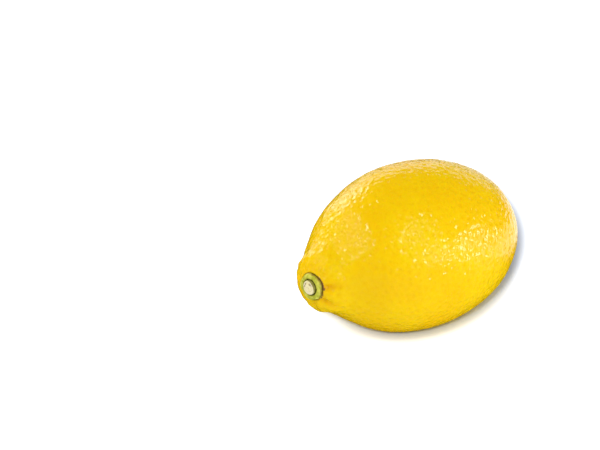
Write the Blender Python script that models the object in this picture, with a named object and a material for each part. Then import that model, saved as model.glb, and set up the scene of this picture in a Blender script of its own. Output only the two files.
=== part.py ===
"""A whole lemon lying on its side.

Three solids: the fruit in its peel, the calyx (the green button of the stem end), and
the stub of the cut stem that stands in the calyx. Metres, +Z up. The origin is the
middle of the small flat spot that the fruit rests on. The long axis runs along X: the
stem end points to -X and the nipple of the blossom end points to +X.
"""

import math

import bmesh
import bpy
import numpy as np
from mathutils import Matrix, Vector

# The egg-shaped body of the fruit. Its section is very slightly oval and three-sided.
BODY_LENGTH = 0.0759
BODY_DIAMETER = 0.0556
OVAL = 0.004
THREE_SIDED = 0.003

# The flat spot that it rests on: the height of the cap that is missing there.
REST_DEPTH = 0.0006

# The neck: a swollen collar of peel round the stem end, with shallow ridges. It drops a
# little below the body's axis, while its end face turns towards -Y and lifts. The melt
# power says how tightly it runs into the body: a higher power is tighter.
NECK_RADIUS = 0.011
NECK_HALF_LENGTH = 0.007
NECK_SINK = 0.0021
NECK_POWER = 1.9
NECK_MELT_POWER = 6
NECK_BEND_LENGTH = 0.0166
NECK_DROP = 0.0025
NECK_TURN = math.radians(10)
NECK_LIFT = math.radians(6)
NECK_RIDGES = 5
NECK_RIDGE_HEIGHT = 0.0003

# The nipple of the blossom end rises from the body in a smooth curve: it has fallen to a
# third of its height at its radius, and a higher power makes its sides steeper. At its
# tip is the small scar that the flower left.
NIPPLE_HEIGHT = 0.004
NIPPLE_RADIUS = 0.005
NIPPLE_POWER = 2.6
SCAR_RADIUS = 0.0011
SCAR_DEPTH = 0.0004

# The calyx sits in a round seat in the end of the neck.
CALYX_RADIUS = 0.0039
CALYX_THICKNESS = 0.0014
CALYX_EDGE = 0.0005
CALYX_LOBES = 5
CALYX_LOBE_HEIGHT = 0.00015
SEAT_DEPTH = 0.0009
SEAT_LIP = 0.0005

# The stub of the stem stands in a shallow well in the calyx.
STEM_RADIUS = 0.0023
STEM_HEIGHT = 0.0016
STEM_EDGE = 0.0002
WELL_DEPTH = 0.0006

# Space between two pieces that touch.
GAP = 0.0003

# Places that follow from the sizes above, on the straight long axis.
AXIS_HEIGHT = BODY_DIAMETER / 2 - REST_DEPTH
NECK_MIDDLE = NECK_SINK - BODY_LENGTH / 2
SEAT_RADIUS = CALYX_RADIUS + CALYX_LOBE_HEIGHT + GAP
WELL_RADIUS = STEM_RADIUS + GAP

# Mesh fineness.
PEEL_RINGS = 40
PEEL_SEGMENTS = 56
BUTTON_SEGMENTS = 40
ROUND_STEPS = 4
OUTLINE_STEPS = 2000
BEND_WEIGHT = 0.004


def smooth_step(share):
    """0 to 1 with a level start and end."""
    return share * share * (3 - 2 * share)


def neck_end(radius):
    """x where the end of the neck has closed in to that radius."""
    reach = (1 - (radius / NECK_RADIUS) ** NECK_POWER) ** (1 / NECK_POWER)
    return NECK_MIDDLE - NECK_HALF_LENGTH * reach


def blossom_half():
    """x and radius from the edge of the scar to the body's middle: a dome and its nipple."""
    start = math.asin(2 * SCAR_RADIUS / BODY_DIAMETER)
    angle = np.linspace(start, math.pi / 2, OUTLINE_STEPS)
    radius = BODY_DIAMETER / 2 * np.sin(angle)
    nipple = NIPPLE_HEIGHT * np.exp(-((radius / NIPPLE_RADIUS) ** NIPPLE_POWER))
    return BODY_LENGTH / 2 * np.cos(angle) + nipple, radius


def stem_half():
    """x and radius from the body's middle to the lip of the seat: dome and neck melted."""
    end = neck_end(SEAT_RADIUS + SEAT_LIP)
    x = end / 2 * (1 - np.cos(np.linspace(0, math.pi, OUTLINE_STEPS)))
    body = np.clip(1 - (2 * x / BODY_LENGTH) ** 2, 0, 1) ** 0.5 * BODY_DIAMETER / 2
    reach = np.clip(np.abs(x - NECK_MIDDLE) / NECK_HALF_LENGTH, 0, 1)
    neck = (1 - reach**NECK_POWER) ** (1 / NECK_POWER) * NECK_RADIUS
    return x, (body**NECK_MELT_POWER + neck**NECK_MELT_POWER) ** (1 / NECK_MELT_POWER)


def peel_outline():
    """(x, radius) points from the scar to the lip of the seat, closest where it bends."""
    (x, radius), (stem_x, stem_radius) = blossom_half(), stem_half()
    x = np.concatenate([x, stem_x[1:]])
    radius = np.concatenate([radius, stem_radius[1:]])
    cost = np.hypot(np.diff(x), np.diff(radius))
    heading = np.unwrap(np.arctan2(np.diff(radius), np.diff(x)))
    cost[1:] += BEND_WEIGHT * np.abs(np.diff(heading))
    travelled = np.concatenate([[0.0], np.cumsum(cost)])
    even = np.linspace(0, travelled[-1], PEEL_RINGS)
    return list(zip(np.interp(even, travelled, x), np.interp(even, travelled, radius)))


def seat_floor():
    """x of the floor of the calyx's seat, where the bend of the axis is complete."""
    return neck_end(SEAT_RADIUS + SEAT_LIP) + SEAT_DEPTH


def axis_at(x):
    """(centre, turn) of the fruit's axis at x: straight, then bent, then straight again."""
    bend_end = seat_floor()
    reach = (bend_end + NECK_BEND_LENGTH - x) / NECK_BEND_LENGTH
    reach = min(max(reach, 0.0), 1.0)
    share = smooth_step(reach)
    run = NECK_BEND_LENGTH * (reach**3 - reach**4 / 2)
    bent_x = max(x, bend_end)
    height = AXIS_HEIGHT + run * math.tan(NECK_LIFT) - share * NECK_DROP
    middle = Vector((bent_x, -run * math.tan(NECK_TURN), height))
    turn = Matrix.Rotation(share * NECK_TURN, 3, "Z") @ Matrix.Rotation(share * NECK_LIFT, 3, "Y")
    return middle + turn @ Vector((x - bent_x, 0, 0)), turn


def ring(centre, turn, radius_at, segments):
    """Points round the axis; radius_at gives the radius at an angle."""
    points = []
    for step in range(segments):
        angle = 2 * math.pi * step / segments
        radius = radius_at(angle)
        spoke = Vector((0, radius * math.cos(angle), radius * math.sin(angle)))
        points.append(centre + turn @ spoke)
    return points


def ridge_share(x):
    """How far the neck's ridges stand up at x: nothing at the lip and on the body."""
    reach = (x - neck_end(SEAT_RADIUS + SEAT_LIP)) / (2 * NECK_HALF_LENGTH)
    return math.sin(math.pi * reach) ** 2 if 0 < reach < 1 else 0.0


def peel_ring(x, radius):
    """One ring of peel, pressed flat where it would pass through the surface it rests on."""
    centre, turn = axis_at(x)
    ridge = NECK_RIDGE_HEIGHT * ridge_share(x)

    def radius_at(angle):
        section = 1 + OVAL * math.cos(2 * angle) + THREE_SIDED * math.cos(3 * angle + 1)
        return radius * section + ridge * math.cos(NECK_RIDGES * angle)

    points = ring(centre, turn, radius_at, PEEL_SEGMENTS)
    for point in points:
        point.z = max(point.z, 0.0)
    return points


def button_ring(outward, radius, segments=BUTTON_SEGMENTS, lobe=0.0):
    """A ring round the stem's own axis; outward counts from the floor of the seat."""
    centre, turn = axis_at(seat_floor() - outward)
    return ring(centre, turn, lambda angle: radius + lobe * math.cos(CALYX_LOBES * angle), segments)


def button_centre(outward):
    """The point on the stem's own axis at that distance from the floor of the seat."""
    return button_ring(outward, 0.0, 1)[0]


def skin(name, first, rings, last, material):
    """A closed solid through the rings, with a fan of faces to the point at each end."""
    mesh = bpy.data.meshes.new(name)
    build = bmesh.new()
    loops = [[build.verts.new(point) for point in points] for points in rings]
    for start, end in zip(loops, loops[1:]):
        for here in range(len(start)):
            build.faces.new((start[here - 1], start[here], end[here], end[here - 1]))
    for point, loop in ((first, loops[0]), (last, loops[-1])):
        pole = build.verts.new(point)
        for here in range(len(loop)):
            build.faces.new((loop[here - 1], loop[here], pole))
    bmesh.ops.recalc_face_normals(build, faces=build.faces)
    build.to_mesh(mesh)
    build.free()
    mesh.shade_smooth()
    mesh.set_sharp_from_angle(angle=math.radians(50))
    mesh.materials.append(material)
    piece = bpy.data.objects.new(name, mesh)
    bpy.context.scene.collection.objects.link(piece)
    return piece


def plain_material(name, colour, roughness):
    material = bpy.data.materials.new(name)
    material.use_nodes = True
    shader = material.node_tree.nodes["Principled BSDF"]
    shader.inputs["Base Color"].default_value = (*colour, 1)
    shader.inputs["Roughness"].default_value = roughness
    shader.inputs["Metallic"].default_value = 0.0
    material.diffuse_color = (*colour, 1)
    return material


def make_fruit():
    outline = peel_outline()
    rings = [peel_ring(x, radius) for x, radius in outline]
    for step in range(1, ROUND_STEPS + 1):
        angle = math.pi / 2 * step / ROUND_STEPS
        depth = SEAT_LIP * (1 - math.cos(angle))
        radius = SEAT_RADIUS + SEAT_LIP * (1 - math.sin(angle))
        rings.append(button_ring(SEAT_DEPTH - depth, radius, PEEL_SEGMENTS))
    rings.append(button_ring(0.0, SEAT_RADIUS, PEEL_SEGMENTS))
    rings.append(button_ring(0.0, SEAT_RADIUS / 2, PEEL_SEGMENTS))
    scar = axis_at(outline[0][0] - SCAR_DEPTH)[0]
    peel = plain_material("peel", (0.93, 0.60, 0.01), 0.35)
    return skin("fruit", scar, rings, button_centre(0.0), peel)


def make_calyx():
    top = GAP + CALYX_THICKNESS
    floor = top - WELL_DEPTH
    crown = (CALYX_RADIUS + WELL_RADIUS) / 2
    lobe = CALYX_LOBE_HEIGHT
    rings = [
        button_ring(GAP, CALYX_RADIUS / 2),
        button_ring(GAP, CALYX_RADIUS - CALYX_EDGE / 2, lobe=lobe),
        button_ring(GAP + CALYX_EDGE / 2, CALYX_RADIUS, lobe=lobe),
    ]
    for step in range(ROUND_STEPS + 1):
        angle = math.pi / 2 * step / ROUND_STEPS
        height = top - CALYX_EDGE * (1 - math.sin(angle))
        radius = crown + (CALYX_RADIUS - crown) * math.cos(angle)
        rings.append(button_ring(height, radius, lobe=lobe * math.cos(angle)))
    rings.append(button_ring(top - CALYX_EDGE / 4, (crown + WELL_RADIUS) / 2))
    rings.append(button_ring(floor, WELL_RADIUS))
    rings.append(button_ring(floor, WELL_RADIUS / 2))
    green = plain_material("calyx", (0.50, 0.50, 0.03), 0.55)
    return skin("calyx", button_centre(GAP), rings, button_centre(floor), green)


def make_stem_stub():
    foot = GAP + CALYX_THICKNESS - WELL_DEPTH + GAP
    top = foot + STEM_HEIGHT
    rings = [
        button_ring(foot, STEM_RADIUS / 2),
        button_ring(foot, STEM_RADIUS - STEM_EDGE),
        button_ring(foot + STEM_EDGE, STEM_RADIUS),
        button_ring(top - STEM_EDGE, STEM_RADIUS),
        button_ring(top, STEM_RADIUS - STEM_EDGE),
        button_ring(top, STEM_RADIUS / 2),
    ]
    wood = plain_material("stem", (0.76, 0.66, 0.30), 0.7)
    return skin("stem_stub", button_centre(foot), rings, button_centre(top), wood)


def main():
    for old in list(bpy.data.objects):
        bpy.data.objects.remove(old, do_unlink=True)
    make_fruit()
    make_calyx()
    make_stem_stub()


main()
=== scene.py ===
"""The looks of a whole lemon: dimpled yellow peel, green calyx and the stub of its stem.

Metres, in the row frame: +Z up, the stem end at -X and the nipple at +X. The fruit, the
calyx and the stub are built again here, finely, over their plain CAD solids.
"""

import math
import random

import bpy
import numpy as np
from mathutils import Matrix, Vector, noise
from mathutils.kdtree import KDTree


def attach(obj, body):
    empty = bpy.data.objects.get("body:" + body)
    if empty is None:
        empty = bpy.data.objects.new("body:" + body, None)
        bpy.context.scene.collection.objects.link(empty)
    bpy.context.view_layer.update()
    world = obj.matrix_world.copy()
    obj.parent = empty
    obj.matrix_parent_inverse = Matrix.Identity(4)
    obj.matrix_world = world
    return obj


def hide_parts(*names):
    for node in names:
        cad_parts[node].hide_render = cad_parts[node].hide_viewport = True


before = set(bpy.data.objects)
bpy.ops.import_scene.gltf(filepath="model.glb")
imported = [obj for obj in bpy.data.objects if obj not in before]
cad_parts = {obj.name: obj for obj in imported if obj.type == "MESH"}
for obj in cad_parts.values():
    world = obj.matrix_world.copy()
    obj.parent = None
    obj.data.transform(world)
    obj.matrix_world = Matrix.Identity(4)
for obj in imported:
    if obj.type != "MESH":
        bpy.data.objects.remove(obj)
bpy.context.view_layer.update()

# The form of the fruit, as its CAD solid has it.
REST_DEPTH = 0.0006
OVAL = 0.004
THREE_SIDED = 0.003
NECK_RADIUS = 0.011
NECK_HALF_LENGTH = 0.007
NECK_SINK = 0.0021
NECK_POWER = 1.9
NECK_MELT_POWER = 6
NECK_BEND_LENGTH = 0.0166
NECK_DROP = 0.0025
NECK_RIDGES = 5
NECK_RIDGE_HEIGHT = 0.0003
NIPPLE_HEIGHT = 0.004
NIPPLE_RADIUS = 0.005
NIPPLE_POWER = 2.6
SCAR_RADIUS = 0.0011
SCAR_DEPTH = 0.0004
SEAT_RADIUS = 0.00435
SEAT_DEPTH = 0.0009
SEAT_LIP = 0.0005
BODY_RADIUS = 0.0278
BODY_HALF_LENGTH = 0.03795
NECK_MIDDLE = NECK_SINK - BODY_HALF_LENGTH
AXIS_HEIGHT = BODY_RADIUS - REST_DEPTH

# The skin of the fruit: how finely it is meshed and how rough it grew.
CELLS_AROUND = 400
CELLS_ALONG = 198
STEM_FINENESS = 0.45
STEM_FINE_SHARE = 0.12
SWELL_SIZE = 0.017
SWELL_HEIGHT = 0.00035
LUMP_SIZE = 0.0042
LUMP_HEIGHT = 0.00009
NECK_LUMP_SIZE = 0.0021
NECK_LUMP_HEIGHT = 0.00055
DIMPLE_SPACING = 0.0021
DIMPLE_RADIUS = 0.00125
DIMPLE_DEPTH = 0.00018
PORE_SIZE = 0.00115
PORE_DEPTH = 0.00006
NET_SIZE = 0.0016
NET_HEIGHT = 0.00034
NET_SMOOTHNESS = 0.42
NET_NECK_GAIN = 0.7
SEED = 7

# Ways out from the lip of the seat over which the skin's features come in.
PEEL_START = 0.0015
DIMPLES_START = 0.001
KNOBS_START = 0.002
FOLDS_START = 0.0008
SEAT_EDGE = 0.0004
NECK_SKIN_REACH = 0.011
NECK_DIMPLE_GAIN = 0.4
# Where the brown rim lies: partly cork, partly painted shade of the crevice beside the calyx.
CORK_AND_SHADE_WAY = 0.0002
CORK_AND_SHADE_WIDTH = 0.0006

# Folds of peel that run out from the seat: angle round the stem in degrees, depth, reach.
DEEPEST_FOLD = 0.0012
NECK_FOLDS = (
    (165, DEEPEST_FOLD, 0.0100),
    (214, 0.0011, 0.0100),
    (262, 0.00040, 0.0065),
    (120, 0.00035, 0.0060),
    (84, 0.00030, 0.0065),
    (46, 0.00035, 0.0070),
    (8, 0.00040, 0.0080),
    (318, 0.00035, 0.0060),
)
FOLD_WIDTH = 0.0013
# Where the lip of the seat swells: angle, height, half width in degrees, way from the lip.
LIP_SWELLINGS = (
    (228, 0.00045, 16, 0.0005),
    (188, 0.00035, 14, 0.0014),
    (142, 0.00020, 18, 0.0008),
)
LIP_SWELLING_WIDTH = 0.0007
# The angle round the stem where the rim of the seat is corky and carries the most painted shade of
# the crevice, in degrees.
CORK_AND_SHADE_SIDE = 165


def smooth_step(share):
    """0 to 1 with a level start and end."""
    share = np.clip(share, 0.0, 1.0)
    return share * share * (3 - 2 * share)


# ---------------------------------------------------------------- the fruit's form


def mesh_centre(node):
    """Middle of a CAD node's vertices."""
    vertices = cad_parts[node].data.vertices
    return sum((vertex.co for vertex in vertices), Vector()) / len(vertices)


def neck_end(radius):
    """x where the end of the neck has closed in to that radius."""
    reach = (1 - (radius / NECK_RADIUS) ** NECK_POWER) ** (1 / NECK_POWER)
    return NECK_MIDDLE - NECK_HALF_LENGTH * reach


LIP_X = neck_end(SEAT_RADIUS + SEAT_LIP)
SEAT_FLOOR = LIP_X + SEAT_DEPTH

# The stem's own axis runs from the calyx through the stub.
stem_axis = (mesh_centre("stem_stub") - mesh_centre("calyx")).normalized()
NECK_LIFT = math.asin(stem_axis.z)
NECK_TURN = math.atan2(-stem_axis.y, -stem_axis.x)


def fruit_outline():
    """x and radius of the turned fruit, from the scar's middle to the seat's middle."""
    angle = np.linspace(0, math.pi / 2, 1500, endpoint=False)
    dome = BODY_RADIUS * np.sin(angle)
    nipple = NIPPLE_HEIGHT * np.exp(-((dome / NIPPLE_RADIUS) ** NIPPLE_POWER))
    scar = SCAR_DEPTH * np.exp(-((dome / SCAR_RADIUS) ** 2))
    dome_x = BODY_HALF_LENGTH * np.cos(angle) + nipple - scar

    neck_x = LIP_X / 2 * (1 - np.cos(np.linspace(0, math.pi, 1500)))
    body = np.clip(1 - (neck_x / BODY_HALF_LENGTH) ** 2, 0, 1) ** 0.5 * BODY_RADIUS
    reach = np.clip(np.abs(neck_x - NECK_MIDDLE) / NECK_HALF_LENGTH, 0, 1)
    neck = (1 - reach**NECK_POWER) ** (1 / NECK_POWER) * NECK_RADIUS
    melted = (body**NECK_MELT_POWER + neck**NECK_MELT_POWER) ** (1 / NECK_MELT_POWER)

    turn = np.linspace(0.2, math.pi / 2, 12)
    lip_x = LIP_X + SEAT_LIP * (1 - np.cos(turn))
    lip = SEAT_RADIUS + SEAT_LIP * (1 - np.sin(turn))
    x = np.concatenate([dome_x, neck_x, lip_x, [SEAT_FLOOR, SEAT_FLOOR]])
    return x, np.concatenate([dome, melted, lip, [SEAT_RADIUS, 0.0]])


def bent(x, spoke_y, spoke_z):
    """Places points of the straight fruit on its real axis, which bends near the stem."""
    reach = np.clip((SEAT_FLOOR + NECK_BEND_LENGTH - x) / NECK_BEND_LENGTH, 0, 1)
    share = smooth_step(reach)
    run = NECK_BEND_LENGTH * (reach**3 - reach**4 / 2)
    bent_x = np.maximum(x, SEAT_FLOOR)
    lift, turn = share * NECK_LIFT, share * NECK_TURN
    ahead = x - bent_x
    lifted_x = ahead * np.cos(lift) + spoke_z * np.sin(lift)
    lifted_z = spoke_z * np.cos(lift) - ahead * np.sin(lift)
    place_x = bent_x + lifted_x * np.cos(turn) - spoke_y * np.sin(turn)
    place_y = lifted_x * np.sin(turn) + spoke_y * np.cos(turn) - run * math.tan(NECK_TURN)
    height = AXIS_HEIGHT + run * math.tan(NECK_LIFT) - share * NECK_DROP
    return np.stack([place_x, place_y, lifted_z + height], axis=-1)


def button_point(outward, spoke_y, spoke_z):
    """Points given from the floor of the seat, out along the stem's own axis."""
    return bent(SEAT_FLOOR - outward, spoke_y, spoke_z)


# ---------------------------------------------------------------- mesh tools


def cube_sphere(around, along):
    """Directions and quads of a cube blown up to a ball, with finer or longer cells along X."""
    side = around // 4
    across = np.linspace(-1, 1, side + 1)
    lengthwise = np.linspace(-1, 1, along + 1)
    directions, quads, start = [], [], 0
    for axis in range(3):
        for sign in (-1, 1):
            first, second = (axis + 1) % 3, (axis + 2) % 3
            u_values = lengthwise if first == 0 else across
            v_values = lengthwise if second == 0 else across
            u, v = np.meshgrid(u_values, v_values, indexing="ij")
            face = np.zeros(u.shape + (3,))
            face[..., axis] = sign
            face[..., first] = np.tan(u * math.pi / 4)
            face[..., second] = np.tan(v * math.pi / 4)
            index = start + np.arange(u.size).reshape(u.shape)
            corners = [index[:-1, :-1], index[1:, :-1], index[1:, 1:], index[:-1, 1:]]
            cells = np.stack(corners, axis=-1).reshape(-1, 4)
            quads.append(cells if sign > 0 else cells[:, ::-1])
            directions.append(face.reshape(-1, 3))
            start += u.size
    directions = np.concatenate(directions)
    directions /= np.linalg.norm(directions, axis=1, keepdims=True)
    _, kept, merged = np.unique(
        directions.round(6), axis=0, return_index=True, return_inverse=True
    )
    return directions[kept], merged.reshape(-1)[np.concatenate(quads)]


def make_mesh(name, points, faces, **attributes):
    """A smooth-shaded object, with a value at each point for every named attribute."""
    mesh = bpy.data.meshes.new(name)
    mesh.from_pydata(points.tolist(), [], [list(map(int, face)) for face in faces])
    mesh.update()
    mesh.shade_smooth()
    for key, values in attributes.items():
        layer = mesh.attributes.new(key, "FLOAT", "POINT")
        layer.data.foreach_set("value", np.asarray(values, np.float32))
    piece = bpy.data.objects.new(name, mesh)
    bpy.context.scene.collection.objects.link(piece)
    return piece


def normals_of(points, quads):
    """Unit normals of the points, from the quads round each."""
    a, b, c, d = (points[quads[:, k]] for k in range(4))
    face = np.cross(c - a, d - b)
    normals = np.zeros_like(points)
    for k in range(4):
        np.add.at(normals, quads[:, k], face)
    return normals / np.linalg.norm(normals, axis=1, keepdims=True)


def smooth_noise(points, size, offset, octaves=1):
    """Perlin noise at the points, about -1 to 1, with features of that size."""
    shift = Vector(offset)
    values = []
    for point in points:
        place = Vector(point) / size + shift
        values.append(noise.fractal(place, 1.0, 2.0, octaves))
    return np.array(values)


# ---------------------------------------------------------------- the fruit


def fruit_points(directions):
    """The smooth fruit: its points, their way from the seat's middle, and their angle."""
    x, radius = fruit_outline()
    way = np.concatenate([[0.0], np.cumsum(np.hypot(np.diff(x), np.diff(radius)))])
    share = 1 - np.arccos(np.clip(directions[:, 0], -1, 1)) / math.pi
    finer = STEM_FINENESS * share * np.exp(-share / STEM_FINE_SHARE)
    from_stem = (share - finer) / (1 - STEM_FINENESS * math.exp(-1 / STEM_FINE_SHARE)) * way[-1]
    x_here = np.interp(way[-1] - from_stem, way, x)
    radius_here = np.interp(way[-1] - from_stem, way, radius)
    angle = np.arctan2(directions[:, 2], directions[:, 1])
    on_peel = smooth_step((radius_here - SEAT_RADIUS) / SEAT_LIP)
    section = 1 + on_peel * (OVAL * np.cos(2 * angle) + THREE_SIDED * np.cos(3 * angle + 1))
    neck_share = np.clip((x_here - LIP_X) / (2 * NECK_HALF_LENGTH), 0, 1)
    ridge = NECK_RIDGE_HEIGHT * np.sin(math.pi * neck_share) ** 2 * on_peel
    spoke = radius_here * section + ridge * np.cos(NECK_RIDGES * angle)
    return bent(x_here, spoke * np.cos(angle), spoke * np.sin(angle)), from_stem, angle


def turn_from(angle, degrees):
    """How far the angle is from that direction, in radians either way."""
    return (angle - math.radians(degrees) + math.pi) % (2 * math.pi) - math.pi


def fold_depth(from_lip, angle):
    """How deep the folds round the seat are, on the way out from its lip."""
    depth = np.zeros_like(angle)
    around = np.maximum(from_lip, 0) + SEAT_RADIUS + SEAT_LIP
    for degrees, deepest, reach in NECK_FOLDS:
        valley = np.exp(-((turn_from(angle, degrees) * around / FOLD_WIDTH) ** 2))
        fade = smooth_step(from_lip / FOLDS_START) * smooth_step(1 - from_lip / reach)
        depth += deepest * valley * fade
    return depth


def lip_height(from_lip, angle):
    """How far the lip of the seat swells."""
    height = np.zeros_like(angle)
    for degrees, highest, half_width, way in LIP_SWELLINGS:
        along = np.exp(-((turn_from(angle, degrees) / math.radians(half_width)) ** 2))
        height += highest * along * np.exp(-(((from_lip - way) / LIP_SWELLING_WIDTH) ** 2))
    return height


def scatter_dimples(points, allowed, draw):
    """Evenly scattered points of the skin, no two nearer than the spacing; and the tree."""
    tree = KDTree(len(points))
    for index, point in enumerate(points):
        tree.insert(point, index)
    tree.balance()
    free = allowed.copy()
    order = list(np.flatnonzero(allowed))
    draw.shuffle(order)
    centres = []
    for index in order:
        if not free[index]:
            continue
        centres.append(index)
        spacing = DIMPLE_SPACING * draw.uniform(0.8, 1.25)
        for _, near, _ in tree.find_range(points[index], spacing):
            free[near] = False
    return centres, tree


def dimple_field(points, allowed):
    """0 on open skin to 1 in the middle of a deep pore."""
    draw = random.Random(SEED)
    centres, tree = scatter_dimples(points, allowed, draw)
    field = np.zeros(len(points))
    for index in centres:
        depth = draw.uniform(0.55, 1.0)
        reach = DIMPLE_RADIUS * draw.uniform(0.7, 1.15)
        for _, near, distance in tree.find_range(points[index], reach):
            bowl = depth * (1 - (distance / reach) ** 2) ** 2
            field[near] = max(field[near], bowl)
    return field


def make_fruit():
    """The fruit in its skin, with the values that its material reads at each point."""
    directions, quads = cube_sphere(CELLS_AROUND, CELLS_ALONG)
    points, from_stem, angle = fruit_points(directions)
    normals = normals_of(points, quads)
    if np.einsum("ij,ij->i", normals, points - points.mean(0)).mean() < 0:
        normals, quads = -normals, quads[:, ::-1]
    from_lip = from_stem - SEAT_RADIUS - SEAT_DEPTH
    on_peel = smooth_step(from_lip / PEEL_START)
    dimples = dimple_field(points, from_lip > DIMPLES_START)
    swell = smooth_noise(points, SWELL_SIZE, (3.1, 0.7, 5.2))
    lumps = smooth_noise(points, LUMP_SIZE, (0.4, 8.3, 1.9), octaves=2)
    near_neck = np.exp(-((np.maximum(from_lip, 0) / NECK_SKIN_REACH) ** 2))
    height = SWELL_HEIGHT * swell * (1 - near_neck)
    height += LUMP_HEIGHT * lumps
    knobs = smooth_noise(points, NECK_LUMP_SIZE, (6.2, 2.5, 4.4))
    height += NECK_LUMP_HEIGHT * knobs * near_neck * smooth_step(from_lip / KNOBS_START)
    height -= DIMPLE_DEPTH * dimples * (1 + NECK_DIMPLE_GAIN * near_neck)
    folds = fold_depth(from_lip, angle)
    height += lip_height(from_lip, angle) - folds
    points = points + normals * (height * on_peel)[:, None]
    points[:, 2] = np.maximum(points[:, 2], 0.0)
    # The rim beside the seat is painted dark brown: partly cork, partly painted shade of the
    # crevice, strongest on one side.
    rim = np.exp(-(((from_lip - CORK_AND_SHADE_WAY) / CORK_AND_SHADE_WIDTH) ** 2))
    rim *= 0.2 + 1.1 * np.clip(np.cos(angle - math.radians(CORK_AND_SHADE_SIDE)), 0, 1)
    # seat marks the floor of the seat, which the peel's material paints dark brown as shade.
    seat = smooth_step(-from_lip / SEAT_EDGE)
    values = {"dimple": dimples, "rim": rim, "seat": seat, "neck": near_neck}
    # How deep each fold is, which the peel's material uses for painted shade in the folds.
    values["fold_shade"] = folds / DEEPEST_FOLD
    return make_mesh("lemon_peel", points, quads, **values)


# ---------------------------------------------------------------- calyx and stem stub


def turned(name, heights, radii, spoke, lift, **attributes):
    """A closed piece turned round the stem's axis.

    heights and radii give its rings, the first and last of them closed by a point. spoke
    and lift say how the radius and height change with ring number and angle.
    """
    segments = 120
    angle = np.arange(segments) * 2 * math.pi / segments
    points, faces = [], []
    for ring, (height, radius) in enumerate(zip(heights, radii)):
        reach = spoke(ring, radius, angle)
        out = height + lift(ring, radius, angle)
        points.append(button_point(out, reach * np.cos(angle), reach * np.sin(angle)))
    rings = len(points)
    ends = [np.array([ring.mean(0)]) for ring in (points[0], points[-1])]
    all_points = np.concatenate(points + ends)
    here = np.arange(segments)
    after = (here + 1) % segments
    for ring in range(rings - 1):
        low, high = ring * segments, (ring + 1) * segments
        faces += np.stack([low + here, high + here, high + after, low + after], axis=1).tolist()
    first, last = rings * segments, rings * segments + 1
    faces += np.stack([here, after, np.full(segments, first)], axis=1).tolist()
    top = (rings - 1) * segments
    faces += np.stack([top + after, top + here, np.full(segments, last)], axis=1).tolist()
    values = {}
    for key, per_ring in attributes.items():
        spread = np.repeat(np.asarray(per_ring, float), segments)
        values[key] = np.concatenate([spread, [per_ring[0], per_ring[-1]]])
    return make_mesh(name, all_points, faces, **values)


# The calyx fills its seat to the eye, and may run a little into the seat's wall.
CALYX_RADIUS = SEAT_RADIUS + 0.00005
CALYX_REACH = SEAT_RADIUS + 0.0001
CALYX_FOOT = 0.0003
CALYX_WAIST = 0.0011
CALYX_TOP = 0.0021
CALYX_LOBES = 5
LOBE_TURN = 0.4
LOBE_HEIGHT = 0.00012
SEPAL_GROOVE = 0.00014
WELL_RADIUS = 0.00255
WELL_FLOOR = 0.0013
STEM_RADIUS = 0.0023
STEM_FOOT = 0.0014
STEM_TOP = 0.0027
STEM_EDGE = 0.00025
STEM_RIBS = 19
HOLLOW_DEPTH = 0.00034
HOLLOW_SHARE = 0.70
HOLLOW_WIDTH = 0.08
PITH_DEPTH = 0.00010
PITH_WIDTH = 0.22


def ring_noise(radius, angle, height, size, offset):
    """Noise round a ring, for spokes that aren't quite even."""
    places = np.stack([radius * np.cos(angle), radius * np.sin(angle), height + 0 * angle], axis=1)
    return smooth_noise(places, size, offset, octaves=2)


def make_calyx():
    """The lobed green button, with the well that the stub stands in."""
    crown = 0.40 * CALYX_RADIUS + 0.60 * WELL_RADIUS
    bottom = [(CALYX_FOOT, 0.3 * CALYX_RADIUS), (CALYX_FOOT, 0.92 * CALYX_RADIUS)]
    side = [
        (
            CALYX_WAIST + (CALYX_TOP - CALYX_WAIST) * math.sin(turn),
            crown + (CALYX_RADIUS - crown) * math.cos(turn),
        )
        for turn in np.linspace(-0.55, math.pi / 2, 14)
    ]
    inner = [
        (
            WELL_FLOOR + (CALYX_TOP - WELL_FLOOR) * math.cos(turn),
            crown - (crown - WELL_RADIUS) * math.sin(turn),
        )
        for turn in np.linspace(0.15, math.pi / 2, 9)
    ]
    floor = [(WELL_FLOOR, 0.8 * WELL_RADIUS), (WELL_FLOOR, 0.3 * WELL_RADIUS)]
    rings = bottom + side + inner + floor
    heights, radii = zip(*rings)

    def spoke(ring, radius, angle):
        outer = smooth_step((radius - crown) / (CALYX_RADIUS - crown))
        lobes = LOBE_HEIGHT * np.cos(CALYX_LOBES * angle + LOBE_TURN)
        uneven = 0.00012 * ring_noise(radius, angle, heights[ring], 0.0016, (2, 5, 1))
        return np.minimum(radius + outer * (lobes + uneven), CALYX_REACH)

    def lift(ring, radius, angle):
        on_top = 1.0 if heights[ring] > 0.0012 and radius > WELL_RADIUS else 0.0
        groove = np.cos(CALYX_LOBES * (angle + LOBE_TURN / CALYX_LOBES) / 2) ** 2
        sepals = -SEPAL_GROOVE * (1 - groove) ** 6
        uneven = 0.00007 * ring_noise(radius, angle, heights[ring], 0.0009, (7, 1, 4))
        return on_top * (sepals + uneven)

    share = [radius / CALYX_RADIUS for radius in radii]
    return turned("green_calyx", heights, radii, spoke, lift, spread=share)


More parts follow.
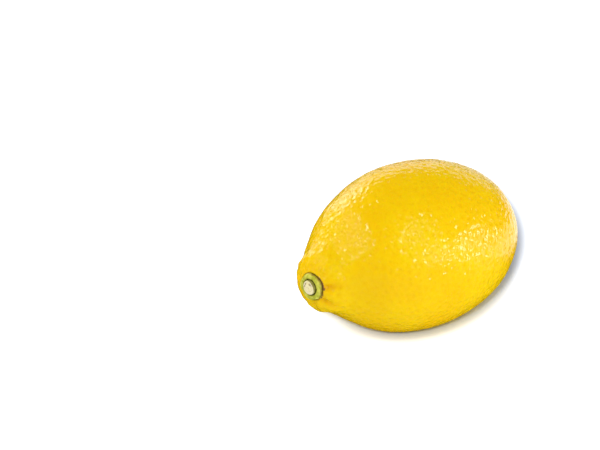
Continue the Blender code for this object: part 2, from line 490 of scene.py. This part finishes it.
def make_stem():
    """The cut stub: ribbed bark, a rounded edge, and a face with a ring pressed into it."""
    side_heights = np.linspace(STEM_FOOT + 0.00015, STEM_TOP - STEM_EDGE, 7)
    side = [(height, STEM_RADIUS) for height in side_heights]
    edge = [
        (
            STEM_TOP - STEM_EDGE + STEM_EDGE * math.sin(turn),
            STEM_RADIUS - STEM_EDGE + STEM_EDGE * math.cos(turn),
        )
        for turn in np.linspace(0.3, math.pi / 2, 5)
    ]
    face = [(STEM_TOP, STEM_RADIUS * share) for share in np.linspace(0.84, 0.06, 16)]
    foot = [(STEM_FOOT, 0.3 * STEM_RADIUS), (STEM_FOOT, STEM_RADIUS - 0.0002)]
    rings = foot + side + edge + face
    heights, radii = zip(*rings)

    def spoke(ring, radius, angle):
        outer = smooth_step((radius / STEM_RADIUS - 0.8) / 0.2)
        ribs = 0.00004 * np.cos(STEM_RIBS * angle) + 0.00008 * np.cos(3 * angle + 2)
        uneven = 0.00010 * ring_noise(radius, angle, heights[ring], 0.0012, (3, 9, 2))
        return radius + outer * (ribs + uneven)

    def lift(ring, radius, angle):
        if heights[ring] < STEM_TOP - 0.0003:
            return 0 * angle
        share = radius / STEM_RADIUS
        slope = 0.00018 * share * np.cos(angle - 2.2)
        ring_here = math.exp(-(((share - HOLLOW_SHARE) / HOLLOW_WIDTH) ** 2))
        hollow = -HOLLOW_DEPTH * ring_here * (0.6 + 0.4 * np.sin(angle))
        hollow -= PITH_DEPTH * math.exp(-((share / PITH_WIDTH) ** 2))
        grain = 0.00009 * ring_noise(radius, angle, 0.0, 0.0005, (1, 6, 8))
        return slope + hollow + grain

    share = [radius / STEM_RADIUS for radius in radii]
    on_face = [1.0 if height > STEM_TOP - 0.00012 else 0.0 for height in heights]
    return turned("stem_stub_cut", heights, radii, spoke, lift, spread=share, face=on_face)


# ---------------------------------------------------------------- materials


def new_material(name):
    """A material with only its shader: (material, node tree, shader)."""
    material = bpy.data.materials.new(name)
    material.use_nodes = True
    tree = material.node_tree
    return material, tree, tree.nodes["Principled BSDF"]


def add(tree, kind, inputs=None, **settings):
    """A node with its settings; an input is a value or the socket that feeds it."""
    node = tree.nodes.new(kind)
    for key, value in settings.items():
        setattr(node, key, value)
    for key, value in (inputs or {}).items():
        if isinstance(value, bpy.types.NodeSocket):
            tree.links.new(value, node.inputs[key])
        else:
            node.inputs[key].default_value = value
    return node


def attribute(tree, name):
    """The value that the mesh has at each point under that name."""
    return add(tree, "ShaderNodeAttribute", attribute_name=name).outputs["Fac"]


def texture_noise(tree, size, detail=2.0):
    """Noise in space with features of that size in metres: its value socket."""
    place = add(tree, "ShaderNodeTexCoord").outputs["Object"]
    inputs = {"Vector": place, "Scale": 1 / size, "Detail": detail, "Roughness": 0.5}
    return add(tree, "ShaderNodeTexNoise", inputs).outputs["Fac"]


def remap(tree, value, low, high, to_low=0.0, to_high=1.0):
    """The value's stretch from low to high, spread over another stretch, smoothly."""
    inputs = {"Value": value, "From Min": low, "From Max": high}
    inputs |= {"To Min": to_low, "To Max": to_high}
    return add(
        tree, "ShaderNodeMapRange", inputs, interpolation_type="SMOOTHSTEP"
    ).outputs["Result"]


def calculate(tree, operation, first, second=0.0, third=0.0):
    """The result of one sum on values or sockets."""
    inputs = {0: first, 1: second, 2: third}
    return add(tree, "ShaderNodeMath", inputs, operation=operation).outputs[0]


def vector_math(tree, operation, first, second):
    """The result of one sum on two vectors."""
    node = add(tree, "ShaderNodeVectorMath", {0: first, 1: second}, operation=operation)
    return node.outputs["Vector"]


def blend(tree, share, first, second):
    """Two colours mixed; each is a colour or the socket that gives it."""
    inputs = {0: share}
    for place, value in ((6, first), (7, second)):
        inputs[place] = value if isinstance(value, bpy.types.NodeSocket) else (*value, 1)
    node = add(tree, "ShaderNodeMix", inputs, data_type="RGBA")
    return node.outputs[2]


def bump(tree, height, distance):
    """A normal bent by the height, which is that distance in metres from 0 to 1."""
    inputs = {"Height": height, "Distance": distance, "Strength": 1.0}
    return add(tree, "ShaderNodeBump", inputs).outputs["Normal"]


PEEL_YELLOW = (0.92, 0.59, 0.001)
PEEL_LIGHT = (0.94, 0.65, 0.002)
PEEL_DEEP = (0.90, 0.52, 0.001)
# Painted shade in the pores and dimples of the peel.
PEEL_PIT_SHADE = (0.87, 0.44, 0.001)
# Painted shade in the folds round the seat.
PEEL_FOLD_SHADE = (0.88, 0.42, 0.001)
# Partly cork, partly painted shade of the crevice beside the calyx.
CORK_AND_SHADE_BROWN = (0.24, 0.09, 0.04)
# Painted shade in the seat round the calyx.
SEAT_SHADE_BROWN = (0.36, 0.19, 0.03)
CALYX_GREEN = (0.46, 0.47, 0.015)
CALYX_YELLOW = (0.70, 0.66, 0.08)
# Painted shade in the calyx's well, round the stub.
CALYX_WELL_SHADE = (0.16, 0.14, 0.008)
CALYX_RIM = (0.30, 0.16, 0.03)
STEM_PITH = (0.94, 0.82, 0.44)
BARK_DARK = (0.26, 0.23, 0.03)
BARK_LIGHT = (0.52, 0.46, 0.14)
# Colours of the cut face, from its middle (0) to its edge (1).
STEM_RINGS = (
    (0.06, (0.46, 0.38, 0.14)),
    (0.26, (0.88, 0.72, 0.32)),
    (0.56, (0.96, 0.86, 0.46)),
    (0.68, (0.34, 0.23, 0.08)),
    (0.78, (0.97, 0.87, 0.55)),
    (1.00, (0.86, 0.72, 0.50)),
)


def pore_pattern(tree):
    """1 in the middle of each small pore of the peel, 0 between them."""
    place = add(tree, "ShaderNodeTexCoord").outputs["Object"]
    cells = add(tree, "ShaderNodeTexVoronoi", {"Vector": place, "Scale": 1 / PORE_SIZE})
    return remap(tree, cells.outputs["Distance"], 0.0, 0.62, 1.0, 0.0)


def net_pattern(tree):
    """The net of ridges between the pores, each of which falls in like a small cone."""
    place = add(tree, "ShaderNodeTexCoord").outputs["Object"]
    inputs = {"Vector": place, "Scale": 1 / NET_SIZE, "Smoothness": NET_SMOOTHNESS}
    cells = add(tree, "ShaderNodeTexVoronoi", inputs, feature="SMOOTH_F1")
    return cells.outputs["Distance"]


def peel_material():
    """Yellow peel: a smooth skin with pores, under a thin wax that is netted with ridges."""
    material, tree, shader = new_material("lemon_peel")
    broad = remap(tree, texture_noise(tree, 0.022, detail=3), 0.32, 0.68)
    mottle = remap(tree, texture_noise(tree, 0.0035, detail=2), 0.35, 0.7)
    pore = pore_pattern(tree)
    dimple = attribute(tree, "dimple")
    colour = blend(tree, broad, PEEL_DEEP, PEEL_LIGHT)
    colour = blend(tree, 0.5, colour, PEEL_YELLOW)
    colour = blend(tree, calculate(tree, "MULTIPLY", mottle, 0.22), colour, PEEL_DEEP)
    # Painted shade: the pores and dimples are coloured deeper orange.
    pit_shade = calculate(tree, "ADD", calculate(tree, "MULTIPLY", pore, 0.35), dimple)
    colour = blend(tree, calculate(tree, "MULTIPLY", pit_shade, 0.22), colour, PEEL_PIT_SHADE)
    # Painted shade: the folds are coloured deeper orange.
    fold_shade = calculate(tree, "MULTIPLY", attribute(tree, "fold_shade"), 0.7)
    colour = blend(tree, fold_shade, colour, PEEL_FOLD_SHADE)
    # Painted brown at the rim: partly cork, partly painted shade of the crevice beside the calyx.
    ragged = texture_noise(tree, 0.0009, detail=3)
    cork_and_shade = calculate(tree, "MULTIPLY", attribute(tree, "rim"), ragged)
    colour = blend(tree, remap(tree, cork_and_shade, 0.28, 0.55), colour, CORK_AND_SHADE_BROWN)
    # Painted shade: the floor of the seat is coloured dark brown.
    colour = blend(tree, attribute(tree, "seat"), colour, SEAT_SHADE_BROWN)
    tree.links.new(colour, shader.inputs["Base Color"])
    roughness = remap(tree, texture_noise(tree, 0.0012, detail=2), 0.3, 0.7, 0.20, 0.32)
    tree.links.new(roughness, shader.inputs["Roughness"])
    skin = bump(tree, calculate(tree, "MULTIPLY", pore, -1.0), PORE_DEPTH)
    tree.links.new(skin, shader.inputs["Normal"])
    shader.inputs["Specular IOR Level"].default_value = 0.08
    steeper = calculate(tree, "MULTIPLY_ADD", attribute(tree, "neck"), NET_NECK_GAIN, 1.0)
    wax = bump(tree, calculate(tree, "MULTIPLY", net_pattern(tree), steeper), NET_HEIGHT)
    tree.links.new(wax, shader.inputs["Coat Normal"])
    shader.inputs["Coat Weight"].default_value = 0.6
    shader.inputs["Coat Roughness"].default_value = 0.08
    shader.inputs["Coat IOR"].default_value = 1.5
    shader.inputs["Subsurface Weight"].default_value = 0.12
    shader.inputs["Subsurface Radius"].default_value = (1.0, 0.45, 0.05)
    shader.inputs["Subsurface Scale"].default_value = 0.002
    return material


def calyx_material():
    """Dull yellow-green, with painted shade in the well and brown at the rim."""
    material, tree, shader = new_material("calyx_green")
    spread = attribute(tree, "spread")
    patches = remap(tree, texture_noise(tree, 0.0016, detail=3), 0.35, 0.65)
    colour = blend(tree, patches, CALYX_GREEN, CALYX_YELLOW)
    # Painted shade: the well round the stub is coloured near black.
    inner = remap(tree, spread, 0.57, 0.66, 1.0, 0.0)
    colour = blend(tree, inner, colour, CALYX_WELL_SHADE)
    ragged = calculate(tree, "MULTIPLY", texture_noise(tree, 0.0007, detail=3), 0.16)
    outer = remap(tree, calculate(tree, "ADD", spread, ragged), 1.02, 1.12)
    colour = blend(tree, outer, colour, CALYX_RIM)
    tree.links.new(colour, shader.inputs["Base Color"])
    grain = bump(tree, texture_noise(tree, 0.0003, detail=3), 0.00012)
    tree.links.new(grain, shader.inputs["Normal"])
    shader.inputs["Roughness"].default_value = 0.5
    shader.inputs["Specular IOR Level"].default_value = 0.3
    return material


def stem_material():
    """Pale cut wood with a dark ring on its face, and green-brown bark round it."""
    material, tree, shader = new_material("stem_wood")
    spread = attribute(tree, "spread")
    wobble = remap(tree, texture_noise(tree, 0.0011, detail=3), 0.3, 0.7, -0.16, 0.16)
    radial = calculate(tree, "ADD", spread, wobble)
    rings = add(tree, "ShaderNodeValToRGB", {"Fac": radial})
    ramp = rings.color_ramp
    while len(ramp.elements) < len(STEM_RINGS):
        ramp.elements.new(0.5)
    for element, (place, colour) in zip(ramp.elements, STEM_RINGS):
        element.position = place
        element.color = (*colour, 1)
    plain = remap(tree, texture_noise(tree, 0.0014, detail=2), 0.42, 0.58)
    face = blend(tree, plain, rings.outputs["Color"], STEM_PITH)
    bark = blend(tree, texture_noise(tree, 0.0008, detail=3), BARK_DARK, BARK_LIGHT)
    colour = blend(tree, attribute(tree, "face"), bark, face)
    tree.links.new(colour, shader.inputs["Base Color"])
    grain = bump(tree, texture_noise(tree, 0.00025, detail=3), 0.00015)
    tree.links.new(grain, shader.inputs["Normal"])
    shader.inputs["Roughness"].default_value = 0.6
    shader.inputs["Specular IOR Level"].default_value = 0.3
    return material


# ---------------------------------------------------------------- studio

FLOOR_RADIUS = 4.0
VIEW_AZIMUTH = math.radians(-39.1)
VIEW_ELEVATION = math.radians(27.5)
VIEW_DISTANCE = 0.452
AIM_AZIMUTH = math.radians(-33.72)
AIM_ELEVATION = math.radians(26.78)
LENS = 81.84

# Lamps: azimuth and elevation in degrees as the camera's, distance, width, height, power.
# These shine only on the fruit, and all but two are mirrored in its peel.
FRUIT_LIGHTS = {
    "fill": (-104, 60, 0.8, 1.10, 1.10, 2.7),
    "edge": (-160, 18, 0.8, 0.50, 0.30, 1.2),
    "back_left": (184, 22, 0.9, 0.34, 0.28, 1.2),
    "back": (152, 11, 1.0, 1.80, 0.40, 2.6),
    "right": (44, 9, 0.8, 0.34, 0.20, 2.0),
    "centre": (8, 13, 0.8, 0.17, 0.11, 1.0),
    "top": (-6, 48, 0.8, 0.14, 0.14, 0.7),
    "left": (-136, 39, 0.9, 0.15, 0.13, 0.55),
    "front_left": (-110, 33, 0.8, 0.11, 0.09, 0.5),
    "front": (-84, 27, 0.8, 0.08, 0.07, 0.35),
}
NOT_MIRRORED = ("fill", "edge")
# These shine only on the floor.
FLOOR_LIGHTS = {
    "beside_camera": (-42.2, 30.0, 0.46, 0.030, 0.030, 1.1),
    "above_camera": (-40, 46, 0.6, 0.05, 0.05, 0.4),
}
# A lamp that lies on the floor beyond the nipple and shines up: azimuth, elevation,
# distance, width, height, power; and how high it lies.
CARD_LIGHT = (100, 0, 0.16, 0.16, 0.30, 0.20)
CARD_HEIGHT = 0.002
AMBIENT_LIGHT = 0.40
# The floor looks as white as the background but for a narrow shadow round the fruit: the
# glow begins where a line towards the viewer just passes the body, and is full a bit out.
SHADOW_CENTRE = (0.0036, 0.0012, 0.0256)
SHADOW_AXES = (0.0398, 0.0282, 0.0282)
GLOW_START = 1.0
GLOW_END = 1.20
GLOW = 0.9
GLOW_ON_FRUIT = 0.45
FLOOR_COLOUR = (0.76, 0.84, 1.0, 1)


def away(azimuth, elevation):
    """Unit vector from the fruit towards that azimuth and elevation."""
    level = math.cos(elevation)
    return Vector((math.sin(azimuth) * level, -math.cos(azimuth) * level, math.sin(elevation)))


def make_softbox(name, target, azimuth, elevation, distance, width, height, power):
    """A rectangular lamp that faces the target and can't be seen itself."""
    light = bpy.data.lights.new(name, "AREA")
    light.shape = "RECTANGLE"
    light.size, light.size_y, light.energy = width, height, power
    lamp = bpy.data.objects.new(name, light)
    direction = away(math.radians(azimuth), math.radians(elevation))
    lamp.location = target + direction * distance
    lamp.rotation_euler = direction.to_track_quat("Z", "Y").to_euler()
    lamp.visible_camera = False
    bpy.context.scene.collection.objects.link(lamp)
    return lamp


def shine_only_on(lamp, pieces):
    """Keeps the lamp's light to those pieces."""
    lit = bpy.data.collections.new(lamp.name + "_reaches")
    for piece in pieces:
        lit.objects.link(piece)
    lamp.light_linking.receiver_collection = lit


def make_lights(target, fruit_pieces, floor):
    """Lamps for the fruit, whose highlights they make, and lamps for the floor's shadow."""
    for name, place in FRUIT_LIGHTS.items():
        lamp = make_softbox(name, target, *place)
        if name in NOT_MIRRORED:
            lamp.visible_glossy = False
            lamp.data.cycles.use_multiple_importance_sampling = False
        shine_only_on(lamp, fruit_pieces)
    for name, place in FLOOR_LIGHTS.items():
        shine_only_on(make_softbox(name, target, *place), [floor])
    card = make_softbox("card", Vector(), *CARD_LIGHT)
    card.location.z = CARD_HEIGHT
    card.rotation_euler = (math.pi, 0, 0)
    shine_only_on(card, fruit_pieces)


def make_floor():
    """A white floor that glows outside a narrow shadow, as seen from the camera."""
    ring = np.linspace(0, 2 * math.pi, 96, endpoint=False)
    points = np.stack([np.cos(ring), np.sin(ring), 0 * ring], axis=1) * FLOOR_RADIUS
    floor = make_mesh("floor", points, [range(len(ring))])
    material, tree, shader = new_material("floor_white")
    place = add(tree, "ShaderNodeTexCoord").outputs["Object"]
    offset = vector_math(tree, "SUBTRACT", place, SHADOW_CENTRE)
    scaled = vector_math(tree, "DIVIDE", offset, SHADOW_AXES)
    towards = away(VIEW_AZIMUTH, VIEW_ELEVATION)
    line = Vector(part / axis for part, axis in zip(towards, SHADOW_AXES)).normalized()
    passing = vector_math(tree, "CROSS_PRODUCT", scaled, line)
    far = add(tree, "ShaderNodeVectorMath", {0: passing}, operation="LENGTH").outputs["Value"]
    glow = remap(tree, far, GLOW_START, GLOW_END, 0.0, GLOW)
    seen = add(tree, "ShaderNodeLightPath").outputs["Is Camera Ray"]
    share = remap(tree, seen, 0.0, 1.0, GLOW_ON_FRUIT, 1.0)
    tree.links.new(calculate(tree, "MULTIPLY", glow, share), shader.inputs["Emission Strength"])
    shader.inputs["Emission Color"].default_value = (1, 1, 1, 1)
    shader.inputs["Base Color"].default_value = FLOOR_COLOUR
    shader.inputs["Roughness"].default_value = 0.9
    shader.inputs["Specular IOR Level"].default_value = 0.0
    floor.data.materials.append(material)
    floor.visible_glossy = False
    return floor


def make_world():
    """White to the camera, black to mirrored rays, and a soft light to all others."""
    world = bpy.data.worlds.new("studio")
    bpy.context.scene.world = world
    world.use_nodes = True
    tree = world.node_tree
    lit = tree.nodes["Background"]
    lit.inputs["Color"].default_value = (1, 1, 1, 1)
    lit.inputs["Strength"].default_value = AMBIENT_LIGHT
    seen = add(tree, "ShaderNodeBackground", {"Color": (1, 1, 1, 1), "Strength": 1.0})
    dark = add(tree, "ShaderNodeBackground", {"Color": (0, 0, 0, 1), "Strength": 0.0})
    path = add(tree, "ShaderNodeLightPath")
    mirrored = add(tree, "ShaderNodeMixShader", {0: path.outputs["Is Glossy Ray"]})
    final = add(tree, "ShaderNodeMixShader", {0: path.outputs["Is Camera Ray"]})
    tree.links.new(lit.outputs[0], mirrored.inputs[1])
    tree.links.new(dark.outputs[0], mirrored.inputs[2])
    tree.links.new(mirrored.outputs[0], final.inputs[1])
    tree.links.new(seen.outputs[0], final.inputs[2])
    tree.links.new(final.outputs[0], tree.nodes["World Output"].inputs["Surface"])
    world.cycles.sampling_method = "NONE"


def make_camera(target):
    """The camera stands off the target and looks past it, so the fruit is off centre."""
    camera = bpy.data.objects.new("camera", bpy.data.cameras.new("camera"))
    camera.data.lens = LENS
    camera.data.sensor_width = 36.0
    camera.location = target + away(VIEW_AZIMUTH, VIEW_ELEVATION) * VIEW_DISTANCE
    back = away(AIM_AZIMUTH, AIM_ELEVATION)
    camera.rotation_euler = back.to_track_quat("Z", "Y").to_euler()
    bpy.context.scene.collection.objects.link(camera)
    bpy.context.scene.camera = camera


def dress(piece, node, material):
    """The piece stands for its CAD node and takes the material."""
    piece.data.materials.append(material)
    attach(piece, "root")
    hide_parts(node)


middle = Vector((0.0, 0.0, AXIS_HEIGHT))
pieces = [make_fruit(), make_calyx(), make_stem()]
dress(pieces[0], "fruit", peel_material())
dress(pieces[1], "calyx", calyx_material())
dress(pieces[2], "stem_stub", stem_material())
make_world()
make_lights(middle, pieces, make_floor())
make_camera(middle)
bpy.context.scene.view_settings.view_transform = "Standard"
